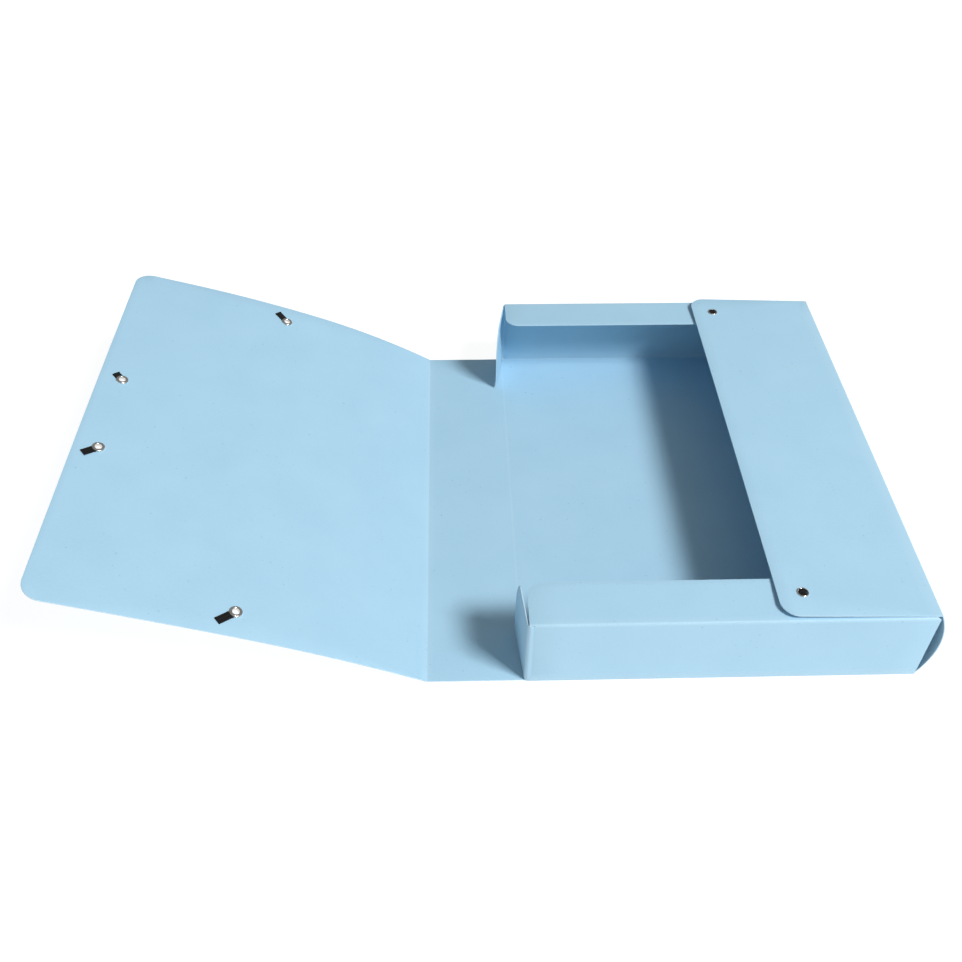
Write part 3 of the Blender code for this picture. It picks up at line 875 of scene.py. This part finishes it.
class Nodes:
    """A short way to write a material's nodes."""

    def __init__(self, name, roughness, metallic=0.0):
        self.material = bpy.data.materials.new(name)
        self.material.use_nodes = True
        self.tree = self.material.node_tree
        self.shader = self.tree.nodes["Principled BSDF"]
        self.shader.inputs["Roughness"].default_value = roughness
        self.shader.inputs["Metallic"].default_value = metallic

    def link(self, output, node, name):
        self.tree.links.new(output, node.inputs[name])

    def flat(self, scale):
        """The flat sheet's coordinates, times a scale for each direction."""
        uv = self.tree.nodes.new("ShaderNodeUVMap")
        uv.uv_map = "flat"
        mapping = self.tree.nodes.new("ShaderNodeMapping")
        mapping.inputs["Scale"].default_value = scale
        self.link(uv.outputs["UV"], mapping, "Vector")
        return mapping.outputs["Vector"]

    def noise(self, where, scale, detail=4.0, rough=0.55):
        made = self.tree.nodes.new("ShaderNodeTexNoise")
        made.inputs["Scale"].default_value = scale
        made.inputs["Detail"].default_value = detail
        made.inputs["Roughness"].default_value = rough
        self.link(where, made, "Vector")
        return made.outputs["Fac"]

    def attribute(self, name):
        made = self.tree.nodes.new("ShaderNodeAttribute")
        made.attribute_name = name
        return made.outputs["Fac"]

    def ramp(self, value, low, high, low_to=0.0, high_to=1.0):
        made = self.tree.nodes.new("ShaderNodeMapRange")
        settings = {"From Min": low, "From Max": high, "To Min": low_to, "To Max": high_to}
        for key, number in settings.items():
            made.inputs[key].default_value = number
        self.link(value, made, "Value")
        return made.outputs["Result"]

    def math(self, operation, one, other):
        made = self.tree.nodes.new("ShaderNodeMath")
        made.operation = operation
        for k, value in enumerate((one, other)):
            if isinstance(value, (int, float)):
                made.inputs[k].default_value = value
            else:
                self.tree.links.new(value, made.inputs[k])
        return made.outputs["Value"]

    def mix(self, share, one, other):
        """A colour between two: each is a colour output or a plain colour."""
        made = self.tree.nodes.new("ShaderNodeMix")
        made.data_type = "RGBA"
        self.tree.links.new(share, made.inputs["Factor"])
        for slot, value in ((6, one), (7, other)):
            if isinstance(value, tuple):
                made.inputs[slot].default_value = (*value, 1)
            else:
                self.tree.links.new(value, made.inputs[slot])
        return made.outputs[2]

    def bump(self, height, distance, before=None):
        made = self.tree.nodes.new("ShaderNodeBump")
        made.inputs["Distance"].default_value = distance
        self.link(height, made, "Height")
        if before:
            self.link(before, made, "Normal")
        return made.outputs["Normal"]

    def finish(self, colour, normal, roughness):
        self.link(colour, self.shader, "Base Color")
        self.link(normal, self.shader, "Normal")
        self.link(roughness, self.shader, "Roughness")
        return self.material


def card_material():
    """Calendered pressboard, dyed through: cloudy where fibres gather, with a few darker flecks,
    paler along its folds and on its cut edges, partly from wear and partly as painted highlight."""
    n = Nodes("blue_pressboard", CARD_ROUGHNESS)
    n.shader.inputs["Specular IOR Level"].default_value = 0.35
    sheet = n.flat((1, 1, 1))
    clouds = n.ramp(n.noise(sheet, 2.2, 3), 0.3, 0.7)
    mottle = n.ramp(n.noise(sheet, 55, 5), 0.3, 0.7)
    fibres = n.noise(n.flat((60, 420, 1)), 1.0, 4)
    colour = n.mix(clouds, CARD_COLOUR_DEEP, CARD_COLOUR)
    colour = n.mix(n.math("MULTIPLY", mottle, 0.28), colour, CARD_COLOUR_PALE)
    colour = n.mix(n.ramp(fibres, 0.52, 0.72, 0.0, 0.22), colour, CARD_COLOUR_PALE)
    flecks = n.ramp(n.noise(sheet, 38, 1.5, 0.4), 0.72, 0.78, 0.0, 0.5)
    colour = n.mix(flecks, colour, CARD_FLECK)
    # Paler along the folds: partly wear, partly painted highlight where the rounded crease catches the
    # light
    fold = n.attribute("fold_line")
    fold_wear_and_highlight = n.math("MULTIPLY", fold, n.ramp(n.noise(sheet, 90, 3), 0.25, 0.6, 0.05, 0.30))
    colour = n.mix(fold_wear_and_highlight, colour, CARD_WEAR_AND_HIGHLIGHT)
    # Paler on the cut edges: partly the raw edge's own tone, partly painted highlight
    edge = n.attribute("cut_edge")
    colour = n.mix(n.math("MULTIPLY", edge, 0.75), colour, CARD_WEAR_AND_HIGHLIGHT)
    relief = n.math("ADD", n.math("MULTIPLY", mottle, 0.5), n.math("MULTIPLY", fibres, 0.8))
    normal = n.bump(relief, 0.03 * MM)
    normal = n.bump(n.noise(sheet, 320, 2), 0.015 * MM, normal)
    roughness = n.ramp(n.math("SUBTRACT", mottle, fold), -1.0, 1.0, 0.44, 0.66)
    return n.finish(colour, normal, roughness)


def metal_material():
    """Nickel plate on stamped steel, with a little tarnish and fine scratches."""
    n = Nodes("nickel_plate", 0.24, 1.0)
    place = n.tree.nodes.new("ShaderNodeTexCoord").outputs["Generated"]
    tarnish = n.noise(place, 5, 5)
    colour = n.mix(n.ramp(tarnish, 0.35, 0.7), NICKEL_BRIGHT, NICKEL_DULL)
    scratches = n.noise(place, 60, 3)
    normal = n.bump(scratches, 0.012 * MM)
    return n.finish(colour, normal, n.ramp(tarnish, 0.3, 0.75, 0.16, 0.36))


def elastic_material():
    """Black braided elastic: rubber cords along it under a close cross weave, with painted shade in
    its hollows.
    """
    n = Nodes("black_elastic", 0.7)
    n.shader.inputs["Sheen Weight"].default_value = 0.04
    n.shader.inputs["Specular IOR Level"].default_value = 0.2
    n.shader.inputs["Sheen Roughness"].default_value = 0.5
    weave = n.tree.nodes.new("ShaderNodeTexWave")
    weave.wave_profile = "SIN"
    weave.inputs["Scale"].default_value = 0.55
    weave.inputs["Distortion"].default_value = 0.6
    weave.inputs["Detail"].default_value = 1.0
    n.link(n.flat((1, 0.1, 1)), weave, "Vector")
    cords = n.tree.nodes.new("ShaderNodeTexWave")
    cords.bands_direction = "Y"
    cords.inputs["Scale"].default_value = 0.28
    n.link(n.flat((0.02, 1, 1)), cords, "Vector")
    relief = n.math("ADD", weave.outputs["Fac"], n.math("MULTIPLY", cords.outputs["Fac"], 0.8))
    fuzz = n.noise(n.flat((3, 6, 1)), 1.0, 4)
    # Painted shade: the colour darkens into the weave's hollows and is lighter on its crowns
    colour = n.mix(n.ramp(relief, 0.2, 1.7), ELASTIC_HOLLOW_SHADE, ELASTIC_CROWN)
    normal = n.bump(relief, 0.12 * MM)
    normal = n.bump(fuzz, 0.03 * MM, normal)
    return n.finish(colour, normal, n.ramp(fuzz, 0.3, 0.7, 0.6, 0.85))


def floor_material():
    """A white sweep lit from within, which leaves hardly a shadow."""
    n = Nodes("floor_white", 0.9)
    n.shader.inputs["Base Color"].default_value = (FLOOR_GREY, FLOOR_GREY, FLOOR_GREY, 1)
    n.shader.inputs["Specular IOR Level"].default_value = 0.0
    n.shader.inputs["Emission Color"].default_value = (1, 1, 1, 1)
    n.shader.inputs["Emission Strength"].default_value = FLOOR_GLOW
    return n.material


# ---------------------------------------------------------------- camera, floor and light


def build_camera():
    """Over the tail end, looking down at the open box from its spine side."""
    data = bpy.data.cameras.new("camera")
    data.sensor_width = 36
    data.lens = CAMERA_LENS
    data.clip_start = 0.01
    data.clip_end = 50
    camera = bpy.data.objects.new("camera", data)
    bpy.context.scene.collection.objects.link(camera)
    turn = Matrix.Rotation(CAMERA_YAW, 3, "Z") @ Matrix.Rotation(math.pi / 2 - CAMERA_PITCH, 3, "X")
    turn = turn @ Matrix.Rotation(CAMERA_ROLL, 3, "Z")
    camera.matrix_world = Matrix.Translation(CAMERA_PLACE) @ turn.to_4x4()
    bpy.context.scene.camera = camera


def build_floor():
    """A plain white floor, a hair under the box."""
    bm = bmesh.new()
    bmesh.ops.create_grid(bm, x_segments=2, y_segments=2, size=FLOOR_HALF)
    floor = loose_object(bm, "floor")
    floor.data.materials.append(floor_material())
    floor.location.z = -FLOOR_DROP


def area_light(name, place, target, size, power):
    data = bpy.data.lights.new(name, "AREA")
    data.shape = "RECTANGLE"
    data.size, data.size_y = size
    data.energy = power
    light = bpy.data.objects.new(name, data)
    bpy.context.scene.collection.objects.link(light)
    light.location = place
    light.rotation_euler = (Vector(target) - Vector(place)).to_track_quat("-Z", "Y").to_euler()


def build_light():
    """A soft key from beyond the fore edge, on the tail's side, in an even white room."""
    world = bpy.data.worlds.new("studio")
    world.use_nodes = True
    background = world.node_tree.nodes["Background"]
    background.inputs["Color"].default_value = (1, 1, 1, 1)
    background.inputs["Strength"].default_value = SKY
    bpy.context.scene.world = world
    bpy.context.scene.view_settings.view_transform = "Standard"
    area_light("key", KEY_PLACE, (0, 0, 0), (KEY_SIZE, KEY_SIZE), KEY_POWER)


def main():
    card, metal, elastic = card_material(), metal_material(), elastic_material()
    build_base(card)
    cover = build_spine_and_cover(card)
    build_cover_fittings(cover, metal, elastic)
    fore, fore_u = build_fore_edge(card)
    for end, sign in (("tail", -1), ("head", 1)):
        wall, wall_u, wall_v = build_end_wall(end, sign, card)
        build_ear(end, sign, card)
        build_flap_fittings(end, sign, fore, fore_u, wall, wall_u, wall_v, metal, elastic)
    build_floor()
    build_light()
    build_camera()


main()
